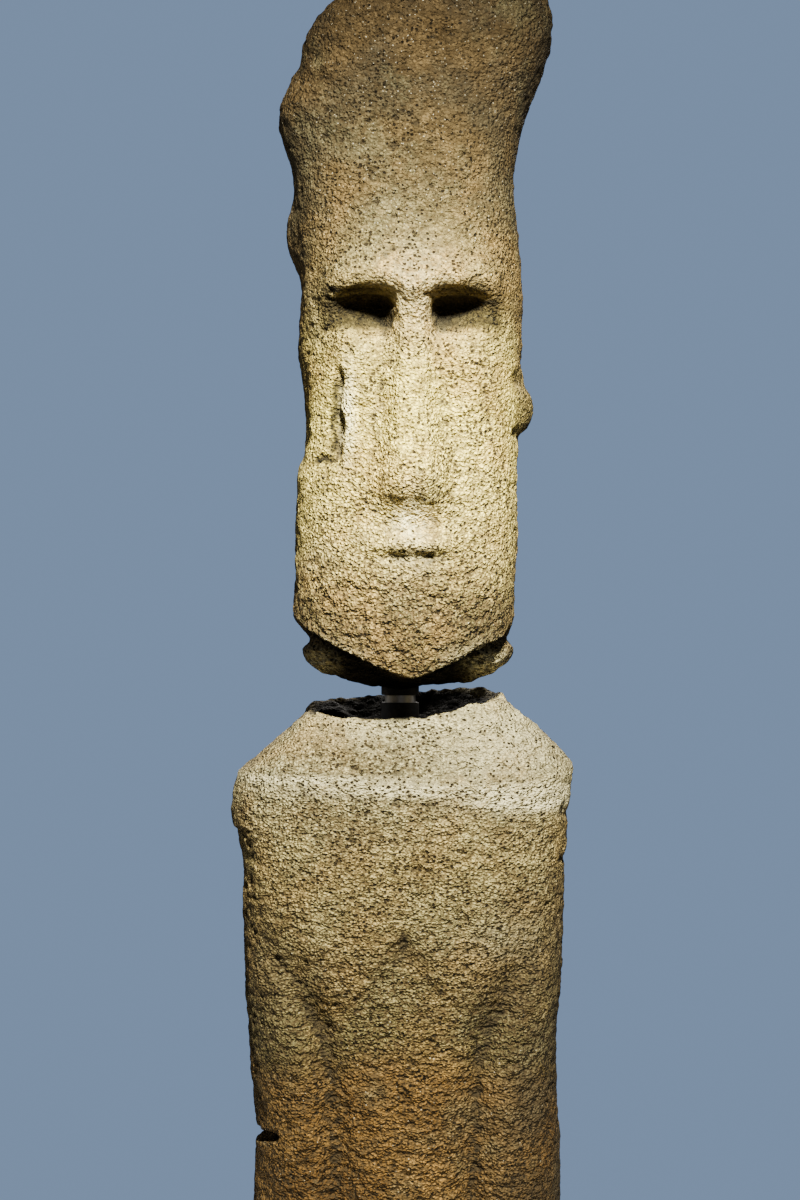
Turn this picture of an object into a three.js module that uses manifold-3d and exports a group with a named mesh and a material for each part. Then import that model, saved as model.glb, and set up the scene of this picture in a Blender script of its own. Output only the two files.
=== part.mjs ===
// A tall, slender moai: an ancestor figure carved from one block of volcanic tuff and broken at
// the neck. The long head with its heavy brow stands on a steel pin a little above the torso,
// whose arms, chest and hands are carved in low relief. Millimetres, +Z up, the face towards -Y,
// with the origin at the middle of the flat underside.

import * as THREE from "three";
import { mergeVertices } from "three/addons/utils/BufferGeometryUtils.js";
import Module from "manifold-3d";

// Torso
const SHOULDER_HEIGHT = 1340;
const SHOULDER_WIDTH = 680;
const SHOULDER_SWELL_RIGHT = 20;
const TORSO_DEPTH = 430;
const BASE_BAND_HEIGHT = 90;
const BASE_BEVEL = 12;

// Neck and the fracture through it
const NECK_RISE = 112;
const NECK_WIDTH = 392;
const NECK_DEPTH = 276;
const NECK_SETBACK = 12;
const FRACTURE_BOWL = 44;
const FRACTURE_TIP_TO_RIGHT = 16;
const FRACTURE_TIP_TO_BACK = 18;
const NECK_GAP_LEFT = 90;
const NECK_GAP_RIGHT = 55;
const NECK_STUB = 23.5;

// Head
const HEAD_HEIGHT = 1372;
const HEAD_WIDTH = 440;
const HEAD_DEPTH = 400;
const HEAD_SHIFT = 15;
const JAW_RISE = HEAD_HEIGHT / 12;

// Steel pin between the two stones, in a bush in each
const PIN_RADIUS = 31;
const PIN_SEAT_DEPTH = 150;
const BUSH_WALL = 6.5;
const BUSH_STAND_HEAD = 17;
const BARE_PIN_LENGTH = 15;
const CLEARANCE = 0.4;
const PIN_SHIFT = -8;
const PIN_SIDES = 24;

// Grid of the two stones: columns around, and the rows' spacing as a share of the height
const COLUMNS_FRONT = 42;
const COLUMNS_BACK = 14;
const ROW_COARSE = 0.062;
const ROW_CARVED = 0.021;
const ROW_FINE = 0.0125;

const COLOURS = { tuff: 0xb09a6c, steel: 0xb3ada2, bush: 0x1d1b1a };

// Levels that follow from the sizes above
const fractureLow = SHOULDER_HEIGHT + NECK_RISE;
const neckGap = (NECK_GAP_LEFT + NECK_GAP_RIGHT) / 2;
const chinHeight = fractureLow + neckGap + NECK_STUB;
const bushRadius = PIN_RADIUS + CLEARANCE + BUSH_WALL;

const { PI, abs, atan2, cos, exp, max, min, pow, sin, sqrt } = Math;

function ramp(from, to, value) {
  const share = min(1, max(0, (value - from) / (to - from)));
  return share * share * (3 - 2 * share);
}

function bump(value, spread) {
  return exp(-0.5 * pow(value / spread, 2));
}

function mix(a, b, share) {
  return a + (b - a) * share;
}

// A smooth curve through [place, value] pairs, level beyond its ends and with no overshoot
function curve(points) {
  return (place) => {
    const after = points.findIndex(([at]) => at >= place);
    if (after === 0) return points[0][1];
    if (after < 0) return points[points.length - 1][1];
    const [a, b] = [points[after - 1], points[after]];
    return mix(a[1], b[1], ramp(a[0], b[0], place) * 0.5 + ((place - a[0]) / (b[0] - a[0])) * 0.5);
  };
}

// How far a rounded rectangle reaches at an angle, with its own reach to each side
function reach(angle, { left, right, front, back, squareness }) {
  const across = abs(cos(angle)) / (cos(angle) < 0 ? left : right);
  const along = abs(sin(angle)) / (sin(angle) < 0 ? front : back);
  return pow(pow(across, squareness) + pow(along, squareness), -1 / squareness);
}

function columnAngles() {
  const front = Array.from({ length: COLUMNS_FRONT }, (_, i) => PI + (PI * i) / COLUMNS_FRONT);
  const back = Array.from({ length: COLUMNS_BACK }, (_, i) => (PI * i) / COLUMNS_BACK);
  return [...front, ...back];
}

function levels(spacing) {
  const found = [0];
  while (found[found.length - 1] < 1) {
    const last = found[found.length - 1];
    found.push(last + spacing(last));
  }
  return found.map((level) => level / found[found.length - 1]);
}

// 1 on the front of a block, 0 on its sides and back
function frontness(angle) {
  return ramp(0.1, 0.62, -sin(angle));
}

// Slow swells of a hand-cut, weathered block
function weathering(x, y, z) {
  const wide = sin(x / 97 + z / 131) * cos(y / 83 - z / 173);
  const close = sin(x / 41 - z / 53 + 1.3) * cos(y / 47 + z / 61);
  return 2.6 * wide + 1.6 * close;
}

// Height of the fracture on the torso's side at a place across the neck
function fracture(x, y) {
  const across = x / (NECK_WIDTH / 2);
  const along = (y - NECK_SETBACK) / (NECK_DEPTH / 2);
  const bowl = FRACTURE_BOWL * min(1.6, across * across + along * along);
  const tip = FRACTURE_TIP_TO_RIGHT * across + FRACTURE_TIP_TO_BACK * along;
  const ripple = 3 * sin(x / 23 + y / 31) + 2 * sin(y / 17 - x / 29);
  return fractureLow + bowl + tip + ripple;
}

function fractureOnHead(x, y) {
  const across = min(1, max(0, 0.5 + x / NECK_WIDTH));
  return fracture(x, y) + mix(NECK_GAP_LEFT, NECK_GAP_RIGHT, across);
}

// Head: outline, seen from the front and from the side, as shares of its own width and depth
// against the share of its height above the chin. The face's block has straight sides and leans
// a little to the right, and the crown above it is broken away on the left.
const headLeft = curve([
  [0, 0.535], [0.55, 0.5], [0.7, 0.53], [0.765, 0.565], [0.82, 0.615], [0.85, 0.592],
  [0.885, 0.512], [0.935, 0.478], [0.965, 0.385], [1, 0.24],
]);
const headRight = curve([
  [0, 0.465], [0.55, 0.5], [0.72, 0.468], [0.78, 0.492], [0.83, 0.535],
  [0.92, 0.64], [0.985, 0.65], [1, 0.61],
]);
const headFront = curve([
  [0, 0.505], [0.08, 0.51], [0.17, 0.507], [0.25, 0.495], [0.44, 0.478], [0.5, 0.485],
  [0.56, 0.525], [0.64, 0.515], [0.8, 0.485], [0.96, 0.49], [1, 0.455],
]);
const headBack = curve([
  [0, 0.44], [0.2, 0.445], [0.5, 0.475], [0.75, 0.48], [0.93, 0.49], [1, 0.43],
]);

// Face, by the common canon of proportions: eyes at half the head's height, the nose's base at a
// quarter and the mouth at a sixth, the head five eyes wide. Depths are shares of the head's depth.
const EYE_LEVEL = 1 / 2;
const NOSE_LEVEL = 1 / 4;
const MOUTH_LEVEL = 1 / 6;
const EYE_WIDTH = HEAD_WIDTH / 5;

const BROW_ROOT = EYE_LEVEL + 0.03;

function browLine(out) {
  return BROW_ROOT + 0.02 * sin(PI * pow(min(1, out / 2.3), 0.75));
}

// The grid's rows bow upward over the eyes, so that they run along the brow
function browBow(across, level) {
  const rise = browLine(abs(across) / EYE_WIDTH) - BROW_ROOT;
  return rise * ramp(0.13, 0.035, abs(level - BROW_ROOT));
}

function browRelief(across, height) {
  const out = abs(across) / EYE_WIDTH;
  const above = (height - browLine(out) - 0.012) / 0.02;
  const ridge = above > 0 ? bump(above, 1.5) : bump(above, 0.75);
  return 0.07 * HEAD_DEPTH * ridge * (1 - ramp(1.5, 2.4, out));
}

// Deep sockets under the brow, tall beside the nose and closing to a point outward
function socketRelief(across, height) {
  const out = abs(across) / EYE_WIDTH;
  const top = browLine(out) - 0.006;
  const lid = mix(EYE_LEVEL - 0.006, top - 0.01, ramp(0.9, 1.95, out));
  const roof = 1 - ramp(top - 0.012, top + 0.006, height);
  const floor = ramp(lid - 0.034, lid + 0.026, height);
  const inner = ramp(0.3, 0.62, out);
  const outer = 1 - ramp(1.25, 1.95, out);
  return -mix(0.16, 0.11, ramp(0.5, 1.4, out)) * HEAD_DEPTH * roof * floor * inner * outer;
}

// A broad, worn nose that widens to its base
function noseRelief(across, height) {
  const down = (EYE_LEVEL + 0.03 - height) / (EYE_LEVEL + 0.03 - NOSE_LEVEL);
  const along = min(1, max(0, down));
  const half = mix(0.4, 0.78, along) * EYE_WIDTH;
  const tall = mix(0.055, 0.15, along) * HEAD_DEPTH;
  const section = 1 - ramp(0.3 * half, 1.25 * half, abs(across));
  const start = ramp(-0.3, 0.05, down);
  const end = 1 - ramp(0.9, 1.12, down);
  const wing = bump(abs(across) - 0.85 * half, 0.25 * EYE_WIDTH) * bump(down - 0.88, 0.08);
  return start * end * tall * section + 0.03 * HEAD_DEPTH * wing;
}

function cheekRelief(across, height) {
  return 0.035 * HEAD_DEPTH * bump(abs(across) - 1.35 * EYE_WIDTH, 0.5 * EYE_WIDTH) * bump(height - 0.43, 0.045);
}

function mouthRelief(across, height) {
  const wide = 1 - ramp(0.4, 1.3, abs(across) / EYE_WIDTH);
  const upper = bump(height - MOUTH_LEVEL - 0.02, 0.011);
  const lower = bump(height - MOUTH_LEVEL + 0.02, 0.012);
  const line = bump(height - MOUTH_LEVEL, 0.008);
  return HEAD_DEPTH * wide * (0.045 * upper + 0.04 * lower - 0.035 * line);
}

function chinRelief(across, height) {
  return 0.045 * HEAD_DEPTH * bump(across, 0.9 * EYE_WIDTH) * bump(height - 0.045, 0.04);
}

// A flake lost from the left cheek: its span up the head, and its straight inner edge in front
function flakeSpan(height) {
  return ramp(0.3, 0.315, height) * (1 - ramp(0.43, 0.46, height));
}

function cheekScar(across, height) {
  const inner = ramp(-1.62, -1.5, across / EYE_WIDTH);
  return -0.035 * HEAD_DEPTH * (1 - inner) * flakeSpan(height);
}

function faceRelief(across, height) {
  return (
    browRelief(across, height) +
    socketRelief(across, height) +
    noseRelief(across, height) +
    cheekRelief(across, height) +
    mouthRelief(across, height) +
    chinRelief(across, height) +
    cheekScar(across, height)
  );
}

// What is left of the long ears: the left one's top, the right one's lobe, and a scar between
const EAR_TOP = { level: 0.637, tall: 0.021, stand: 0.06 };
const EAR_LOBE = { level: 0.39, tall: 0.02, stand: 0.075 };
const EAR_SETBACK = 0.12;

function earRelief(angle, height) {
  const behind = atan2(sin(angle), abs(cos(angle)));
  const sideways = bump(behind - EAR_SETBACK, 0.2);
  const remnant = cos(angle) < 0 ? EAR_TOP : EAR_LOBE;
  const stump = ramp(1.6, 0.7, abs(height - remnant.level) / remnant.tall);
  const scar = ramp(0.36, 0.39, height) * (1 - ramp(0.64, 0.66, height));
  return HEAD_WIDTH * sideways * (remnant.stand * stump + 0.012 * scar);
}

function headSection(level) {
  return {
    left: HEAD_WIDTH * headLeft(level),
    right: HEAD_WIDTH * headRight(level),
    front: HEAD_DEPTH * headFront(level),
    back: HEAD_DEPTH * headBack(level),
    squareness: 2.8,
  };
}

// The jaw rises from the chin to its corners, and the rows above it level out by a quarter height
function jawLift(angle, level) {
  const aside = min(1, abs(reach(angle, headSection(level)) * cos(angle)) / (HEAD_WIDTH / 2));
  const rounded = sqrt(aside * aside + 0.02) - sqrt(0.02);
  const lift = mix(1, rounded, frontness(angle));
  return JAW_RISE * lift * pow(max(0, 1 - level / NOSE_LEVEL), 2);
}

function headPoint(angle, level) {
  const across = reach(angle, headSection(level)) * cos(angle);
  const bow = frontness(angle) * browBow(across, level);
  const height = level + bow + jawLift(angle, level) / HEAD_HEIGHT;
  const z = chinHeight + HEAD_HEIGHT * height;
  const section = headSection(height);
  const rough = weathering(100 * cos(angle), 100 * sin(angle), z);
  const flake = 0.035 * HEAD_WIDTH * ramp(0.8, 0.97, -cos(angle)) * flakeSpan(height);
  const radius = reach(angle, section) + earRelief(angle, height) - flake + rough;
  const x = radius * cos(angle);
  const y = radius * sin(angle) - frontness(angle) * faceRelief(x, height);
  return new THREE.Vector3(x + HEAD_SHIFT, y, z);
}

// The neck under the jaw, cut back under the chin and flaring again at the break
function neckPoint(angle, inset, share) {
  const section = {
    left: NECK_WIDTH / 2 + HEAD_SHIFT,
    right: NECK_WIDTH / 2,
    front: NECK_DEPTH / 2 - NECK_SETBACK,
    back: NECK_DEPTH / 2 + NECK_SETBACK,
    squareness: 3,
  };
  const radius = reach(angle, section) * (1 + inset);
  const x = radius * cos(angle) + HEAD_SHIFT;
  const y = radius * sin(angle);
  const jaw = chinHeight + jawLift(angle, 0);
  const top = jaw + mix(-0.25 * JAW_RISE, 4, frontness(angle));
  const bottom = fractureOnHead(x, y);
  return new THREE.Vector3(x, y, mix(bottom, top, share));
}

function headRings(angles) {
  const spacing = (level) => {
    const fine = min(abs(level - EYE_LEVEL - 0.02) - 0.04, abs(level - MOUTH_LEVEL) - 0.02);
    const carved = mix(ROW_CARVED, ROW_COARSE, ramp(0.03, 0.09, abs(level - NOSE_LEVEL)));
    return mix(ROW_FINE, carved, ramp(0, 0.04, fine));
  };
  const ring = (place) => angles.map(place);
  const under = (share) => (angle) => {
    const rim = neckPoint(angle, -0.07, 0);
    const x = mix(HEAD_SHIFT, rim.x, share);
    const y = mix(0, rim.y, share);
    return new THREE.Vector3(x, y, fractureOnHead(x, y));
  };
  const crown = (share, drop) => (angle) => {
    const edge = headPoint(angle, 1);
    const x = mix(HEAD_SHIFT, edge.x, share);
    const y = edge.y * share;
    return new THREE.Vector3(x, y, edge.z + drop + 2 * weathering(x, y, 0));
  };
  return [
    ring(under(0.35)),
    ring(under(0.7)),
    ring((angle) => neckPoint(angle, -0.07, 0)),
    ring((angle) => neckPoint(angle, 0.02, 0.18)),
    ring((angle) => neckPoint(angle, 0.05, 0.45)),
    ring((angle) => neckPoint(angle, -0.03, 0.78)),
    ring((angle) => neckPoint(angle, 0, 1)),
    ...levels(spacing).map((level) => ring((angle) => headPoint(angle, level))),
    ring(crown(0.72, 6)),
    ring(crown(0.36, 10)),
  ];
}

// Torso: outline as shares of the shoulder width and the depth against the share of the height
const torsoLeft = curve([
  [0, 0.462], [0.22, 0.447], [0.37, 0.45], [0.44, 0.448], [0.478, 0.433], [0.52, 0.442],
  [0.7, 0.472], [0.86, 0.485], [0.905, 0.486], [0.925, 0.513], [0.97, 0.515], [1, 0.499],
]);
const torsoRight = curve([
  [0, 0.462], [0.22, 0.456], [0.42, 0.464], [0.6, 0.453], [0.8, 0.474], [0.91, 0.486],
  [0.97, 0.497], [1, 0.503],
]);
const torsoFront = curve([
  [0, 0.535], [0.1, 0.53], [0.25, 0.545], [0.5, 0.535], [0.68, 0.512], [0.82, 0.515],
  [0.94, 0.49], [1, 0.468],
]);
const torsoBack = curve([
  [0, 0.5], [0.12, 0.5], [0.3, 0.46], [0.6, 0.45], [0.85, 0.455], [1, 0.42],
]);

// Carving on the torso, in shares of half the shoulder width and of the shoulder height
const CHEST = { apex: 0.8, lobe: 0.103, middle: 0.45, armpit: 0.82, stand: 0.05 };
const NIPPLE = { level: 0.807, across: 0.46, spread: 0.07 };
const HAND = { level: 0.2, tall: 0.045, fingertip: 0.05, stand: 0.055 };
const NAVEL_LEVEL = 0.29;
const ARM_STAND = 0.065;
const armInner = curve([
  [0.24, 0.38], [0.35, 0.42], [0.56, 0.45], [0.62, 0.49], [0.7, 0.6], [0.745, 0.69], [0.8, 0.84],
]);

// The chest's two rounded lobes end in a line that runs up between them and up to each armpit
function chestLine(across) {
  const out = abs(across) - CHEST.middle;
  const from = out < 0 ? out / CHEST.middle : out / (CHEST.armpit - CHEST.middle);
  return CHEST.apex - CHEST.lobe * max(0, 1 - from * from);
}

// The grid's rows swing with that line, so that they run along it
function chestBow(across, level) {
  const middle = CHEST.apex - CHEST.lobe / 2;
  return (chestLine(across) - middle) * ramp(0.19, 0.035, abs(level - middle));
}

function chestRelief(across, height) {
  const line = chestLine(across);
  const plate = ramp(line - 0.034, line + 0.022, height) * (1 - ramp(0.86, 0.97, height));
  const side = 1 - ramp(0.8, 1, abs(across));
  const drawn = (height - NIPPLE.level) / 0.3;
  const nipple = bump(abs(across) - NIPPLE.across, NIPPLE.spread) * bump(drawn, NIPPLE.spread);
  return CHEST.stand * plate * side + 0.024 * nipple;
}

// Upper arms hang down the sides, and the forearms draw in across the belly to the hands
function armRelief(across, height) {
  const inner = armInner(height);
  const edge = ramp(inner - 0.08, inner + 0.08, abs(across));
  const groove = bump(abs(across) - inner + 0.03, 0.085);
  const span = ramp(0.13, 0.2, height) * (1 - ramp(0.73, 0.8, height));
  return span * (ARM_STAND * edge - 0.07 * groove);
}

// Flat hands whose long fingers nearly meet below the navel
function handRelief(across, height) {
  const palm = 1 - ramp(0.55, 1.35, abs(height - HAND.level) / HAND.tall);
  const width = ramp(0, 2 * HAND.fingertip, abs(across)) * (1 - ramp(0.35, 0.65, abs(across)));
  return HAND.stand * palm * width;
}

// The notch's place, its mouth's half height, its depth into the arm and its fall to the back
const NOTCH = { level: 0.478, mouth: 26, depth: 62, reachBack: 330, slope: -0.13 };

function bodyRelief(across, height) {
  const navel = -0.03 * bump(across, 0.07) * bump(height - NAVEL_LEVEL, 0.016);
  const belly = 0.035 * bump(across, 0.32) * bump(height - 0.43, 0.15);
  const carved = chestRelief(across, height) + armRelief(across, height) + handRelief(across, height);
  return carved + navel + belly;
}

// A shallow spine down the plain back
function spineRelief(angle, height) {
  return -0.018 * bump(angle - PI / 2, 0.12) * ramp(0.25, 0.4, height) * (1 - ramp(0.85, 1, height));
}

function torsoSection(level) {
  return {
    left: SHOULDER_WIDTH * torsoLeft(level),
    right: SHOULDER_WIDTH * torsoRight(level),
    front: TORSO_DEPTH * torsoFront(level),
    back: TORSO_DEPTH * torsoBack(level),
    squareness: 3.1,
  };
}

// The shoulder ridge runs lower in front and tips a little down to the right there
function ridgeLift(angle, level) {
  const side = 0.009 * ramp(0.2, 0.9, abs(cos(angle)));
  const back = 0.02 * ramp(0, 1, sin(angle));
  const tip = -0.012 * cos(angle) * frontness(angle);
  return SHOULDER_HEIGHT * (side + back + tip) * ramp(0.8, 1, level);
}

function torsoPoint(angle, level) {
  const across = (reach(angle, torsoSection(level)) * cos(angle)) / (SHOULDER_WIDTH / 2);
  const height = level + frontness(angle) * chestBow(across, level);
  const z = SHOULDER_HEIGHT * height + ridgeLift(angle, level);
  const section = torsoSection(height);
  const standing = ramp(0, 0.02, height);
  const rough = standing * weathering(150 * cos(angle), 150 * sin(angle), z + 400);
  const spine = SHOULDER_WIDTH * spineRelief(angle, height);
  const band = BASE_BEVEL * (ramp(BASE_BAND_HEIGHT / SHOULDER_HEIGHT, 0, height) - 0.5);
  const radius = reach(angle, section) + rough + spine + band;
  const x = radius * cos(angle);
  const relief = (SHOULDER_WIDTH / 2) * bodyRelief(x / (SHOULDER_WIDTH / 2), height);
  const y = radius * sin(angle) - frontness(angle) * relief;
  return new THREE.Vector3(x, y, z);
}

// Sloping shoulders between the ridge and the rim of the break, hollowed at the throat
function shoulderPoint(angle, share) {
  const ridge = torsoPoint(angle, 1);
  const rim = rimPoint(angle, 1);
  const throat = 14 * frontness(angle) * bump(cos(angle), 0.4) * sin(PI * share);
  const swell = weathering(ridge.x, ridge.y, 300 * share) * sin(PI * share);
  const point = ridge.clone().lerp(rim, share);
  point.x += SHOULDER_SWELL_RIGHT * ramp(0.3, 0.8, cos(angle)) * sin(PI * sqrt(share));
  point.y += throat;
  point.z += swell;
  return point;
}

function rimPoint(angle, share) {
  const section = {
    left: NECK_WIDTH / 2,
    right: NECK_WIDTH / 2,
    front: NECK_DEPTH / 2 - NECK_SETBACK,
    back: NECK_DEPTH / 2 + NECK_SETBACK,
    squareness: 2.7,
  };
  const radius = reach(angle, section) * share;
  const x = radius * cos(angle);
  const y = radius * sin(angle);
  return new THREE.Vector3(x, y, fracture(x, y));
}

function torsoRings(angles) {
  const ring = (place) => angles.map(place);
  const underside = (share) => (angle) => {
    const edge = torsoPoint(angle, 0);
    const pull = 1 - BASE_BEVEL / edge.length();
    return new THREE.Vector3(edge.x * pull * share, edge.y * pull * share, 0);
  };
  const bevel = (angle) => {
    const edge = torsoPoint(angle, 0);
    return new THREE.Vector3(edge.x, edge.y, BASE_BEVEL);
  };
  const spacing = (level) => {
    const hands = ramp(0.13, 0.04, abs(level - 0.22));
    const chest = ramp(0.13, 0.07, abs(level - 0.75));
    return mix(ROW_COARSE, ROW_CARVED, max(hands, chest));
  };
  const start = (2 * BASE_BEVEL) / SHOULDER_HEIGHT;
  return [
    ring(underside(0.5)),
    ring(underside(1)),
    ring(bevel),
    ...levels(spacing).map((level) => ring((angle) => torsoPoint(angle, mix(start, 1, level)))),
    ring((angle) => shoulderPoint(angle, 0.12)),
    ring((angle) => shoulderPoint(angle, 0.3)),
    ring((angle) => shoulderPoint(angle, 0.6)),
    ring((angle) => shoulderPoint(angle, 0.92)),
    ring((angle) => rimPoint(angle, 0.97)),
    ring((angle) => rimPoint(angle, 0.66)),
    ring((angle) => rimPoint(angle, 0.33)),
  ];
}

// A closed skin over rings of points, with a middle point under the first and over the last
function skin(rings) {
  const columns = rings[0].length;
  const middle = (ring) => ring.reduce((sum, p) => sum.add(p), new THREE.Vector3()).divideScalar(columns);
  const points = [middle(rings[0]), ...rings.flat(), middle(rings[rings.length - 1])];
  const last = points.length - 1;
  const at = (row, column) => 1 + row * columns + (column % columns);
  const faces = [];
  for (let column = 0; column < columns; column++) {
    faces.push(0, at(0, column + 1), at(0, column));
    for (let row = 0; row < rings.length - 1; row++) {
      const [a, b] = [at(row, column), at(row, column + 1)];
      const [c, d] = [at(row + 1, column + 1), at(row + 1, column)];
      faces.push(a, b, c, a, c, d);
    }
    faces.push(last, at(rings.length - 1, column), at(rings.length - 1, column + 1));
  }
  const geometry = new THREE.BufferGeometry();
  geometry.setAttribute("position", new THREE.Float32BufferAttribute(points.flatMap((p) => p.toArray()), 3));
  geometry.setIndex(faces);
  return geometry;
}

const wasm = await Module();
wasm.setup();

function toSolid(geometry) {
  const bare = geometry.clone();
  bare.deleteAttribute("normal");
  bare.deleteAttribute("uv");
  const merged = mergeVertices(bare, 1e-3);
  const vertProperties = new Float32Array(merged.attributes.position.array);
  const triVerts = new Uint32Array(merged.index.array);
  return new wasm.Manifold(new wasm.Mesh({ numProp: 3, vertProperties, triVerts }));
}

function toGeometry(solid) {
  const { vertProperties, triVerts } = solid.getMesh();
  const geometry = new THREE.BufferGeometry();
  geometry.setAttribute("position", new THREE.BufferAttribute(new Float32Array(vertProperties), 3));
  geometry.setIndex(new THREE.BufferAttribute(new Uint32Array(triVerts), 1));
  geometry.computeVertexNormals();
  return geometry;
}

// An upright round bar, or a tube if it has a bore, at the pin's place
function upright(radius, low, high, bore = 0) {
  const profile = [[bore, low], [radius, low], [radius, high], [bore, high], [bore, low]];
  const points = (bore ? profile : profile.slice(0, 4)).map(([r, z]) => new THREE.Vector2(r, z));
  const geometry = new THREE.LatheGeometry(points, PIN_SIDES);
  geometry.rotateX(PI / 2);
  geometry.translate(PIN_SHIFT, NECK_SETBACK, 0);
  return geometry;
}

// Levels along the pin
const headFace = fractureOnHead(PIN_SHIFT, NECK_SETBACK);
const torsoFace = fracture(PIN_SHIFT, NECK_SETBACK);
const socketTop = headFace + PIN_SEAT_DEPTH;
const socketFoot = torsoFace - PIN_SEAT_DEPTH;
const headBushFoot = headFace - BUSH_STAND_HEAD;
const torsoBushTop = headBushFoot - BARE_PIN_LENGTH;

const moai = new THREE.Group();

function addPiece(name, geometry, color, roughness, metalness) {
  const mesh = new THREE.Mesh(geometry, new THREE.MeshStandardMaterial({ color, roughness, metalness }));
  mesh.name = name;
  moai.add(mesh);
}

// Each stone is bored for its bush and the pin
function boredStone(rings) {
  const bore = upright(bushRadius + CLEARANCE, socketFoot, socketTop);
  return toSolid(skin(rings)).subtract(toSolid(bore));
}

// A wedge broken out of the left forearm's edge
function armNotch() {
  const { level, mouth, depth, reachBack } = NOTCH;
  const outer = SHOULDER_WIDTH * torsoLeft(level) + depth;
  const wedge = new THREE.Shape();
  wedge.moveTo(-outer, mouth);
  wedge.lineTo(2 * depth - outer, 0.1 * mouth);
  wedge.lineTo(2 * depth - outer, -0.1 * mouth);
  wedge.lineTo(-outer, -mouth);
  wedge.closePath();
  const geometry = new THREE.ExtrudeGeometry(wedge, { depth: reachBack, bevelEnabled: false });
  geometry.translate(0, 0, -0.4 * reachBack);
  geometry.rotateX(PI / 2 + NOTCH.slope);
  geometry.translate(0, 0, SHOULDER_HEIGHT * level);
  return toSolid(geometry);
}

const angles = columnAngles();
const torso = boredStone(torsoRings(angles)).subtract(armNotch());
addPiece("torso", toGeometry(torso), COLOURS.tuff, 0.95, 0);
addPiece("head", toGeometry(boredStone(headRings(angles))), COLOURS.tuff, 0.95, 0);

const pinBore = PIN_RADIUS + CLEARANCE;
const seatFoot = socketFoot + CLEARANCE;
const seatTop = socketTop - CLEARANCE;
addPiece("neck_pin", upright(PIN_RADIUS, seatFoot, seatTop), COLOURS.steel, 0.4, 0.9);
addPiece("torso_bush", upright(bushRadius, seatFoot, torsoBushTop, pinBore), COLOURS.bush, 0.6, 0.2);
addPiece("head_bush", upright(bushRadius, headBushFoot, seatTop, pinBore), COLOURS.bush, 0.6, 0.2);

// The origin moves to the middle of the outline, at the level of the underside
const bounds = new THREE.Box3().setFromObject(moai, true);
moai.position.set(-(bounds.min.x + bounds.max.x) / 2, -(bounds.min.y + bounds.max.y) / 2, 0);

export default moai;
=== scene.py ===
import itertools
import math

import bpy
import bmesh
import numpy as np
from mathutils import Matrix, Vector


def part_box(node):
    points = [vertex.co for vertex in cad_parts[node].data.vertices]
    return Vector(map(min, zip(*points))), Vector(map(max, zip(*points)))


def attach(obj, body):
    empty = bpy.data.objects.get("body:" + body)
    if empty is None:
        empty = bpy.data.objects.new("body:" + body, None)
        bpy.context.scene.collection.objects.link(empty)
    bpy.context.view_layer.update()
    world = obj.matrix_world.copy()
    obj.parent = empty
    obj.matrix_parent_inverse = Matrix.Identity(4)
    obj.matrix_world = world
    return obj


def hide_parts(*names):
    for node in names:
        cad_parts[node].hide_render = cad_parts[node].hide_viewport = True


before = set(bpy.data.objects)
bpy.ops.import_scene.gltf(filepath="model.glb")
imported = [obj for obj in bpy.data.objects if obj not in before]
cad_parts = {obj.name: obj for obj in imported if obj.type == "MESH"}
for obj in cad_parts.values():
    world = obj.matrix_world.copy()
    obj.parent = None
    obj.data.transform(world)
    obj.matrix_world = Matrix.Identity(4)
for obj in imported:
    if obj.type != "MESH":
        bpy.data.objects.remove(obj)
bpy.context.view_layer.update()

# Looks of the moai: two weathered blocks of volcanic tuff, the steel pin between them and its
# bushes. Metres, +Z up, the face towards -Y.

SCENE = bpy.context.scene

# Places on the figure
CHIN_Z = 1.548
HEAD_TALL = 1.372
NECK_Z = 1.452
SOCKET_FOOT_Z, SOCKET_ROOF_Z = 2.235, 2.338
FLAKE_X = -0.128
FLAKE_FOOT_Z = 1.972
PIN_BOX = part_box("neck_pin")
PIN_X, PIN_Y = ((PIN_BOX[0][k] + PIN_BOX[1][k]) / 2 for k in range(2))

# The hole round the bushes, a little wider than the CAD's, and a height between it and the crown
BORE_RADIUS = 0.0392
BORE_TOP = 1.8


def smooth(low, high, value):
    """0 below low, 1 above high and an eased slope between, also with low above high."""
    share = np.clip((value - low) / (high - low), 0, 1)
    return share * share * (3 - 2 * share)


def bell(value, spread):
    return np.exp(-0.5 * (value / spread) ** 2)


# Noise, from large odd numbers that stir the place of a lattice cell

MIX = [np.uint64(v) for v in (0x9E3779B185EBCA87, 0xC2B2AE3D27D4EB4F, 0x165667B19E3779F9)]
SEED_MIX, STIR = np.uint64(0x27D4EB2F165667C5), np.uint64(0xFF51AFD7ED558CCD)
HALF_WORD, MANTISSA_SHIFT = np.uint64(33), np.uint64(11)


def hashed(cell, seed):
    """A repeatable number from 0 to 1 for each cell of a lattice."""
    with np.errstate(over="ignore"):
        word = np.uint64(seed) * SEED_MIX
        for axis in range(3):
            word = word ^ (cell[:, axis].astype(np.uint64) * MIX[axis])
            word = (word ^ (word >> HALF_WORD)) * STIR
        word = word ^ (word >> HALF_WORD)
    return (word >> MANTISSA_SHIFT).astype(float) / 2**53


def noise(points, size, seed):
    """Smooth noise from -1 to 1 with swells about size wide."""
    place = points / size
    cell = np.floor(place).astype(np.int64)
    part = place - cell
    part = part * part * (3 - 2 * part)
    total = np.zeros(len(points))
    for corner in itertools.product((0, 1), repeat=3):
        weight = np.prod(np.where(np.array(corner) == 1, part, 1 - part), axis=1)
        total += weight * hashed(cell + np.array(corner), seed)
    return 2 * total - 1


def rough(points, size, seed, octaves, gain=0.5):
    """Layered noise, each layer half as wide and gain times as high as the one before."""
    return sum(gain**k * noise(points, size / 2**k, seed + k) for k in range(octaves))


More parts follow.
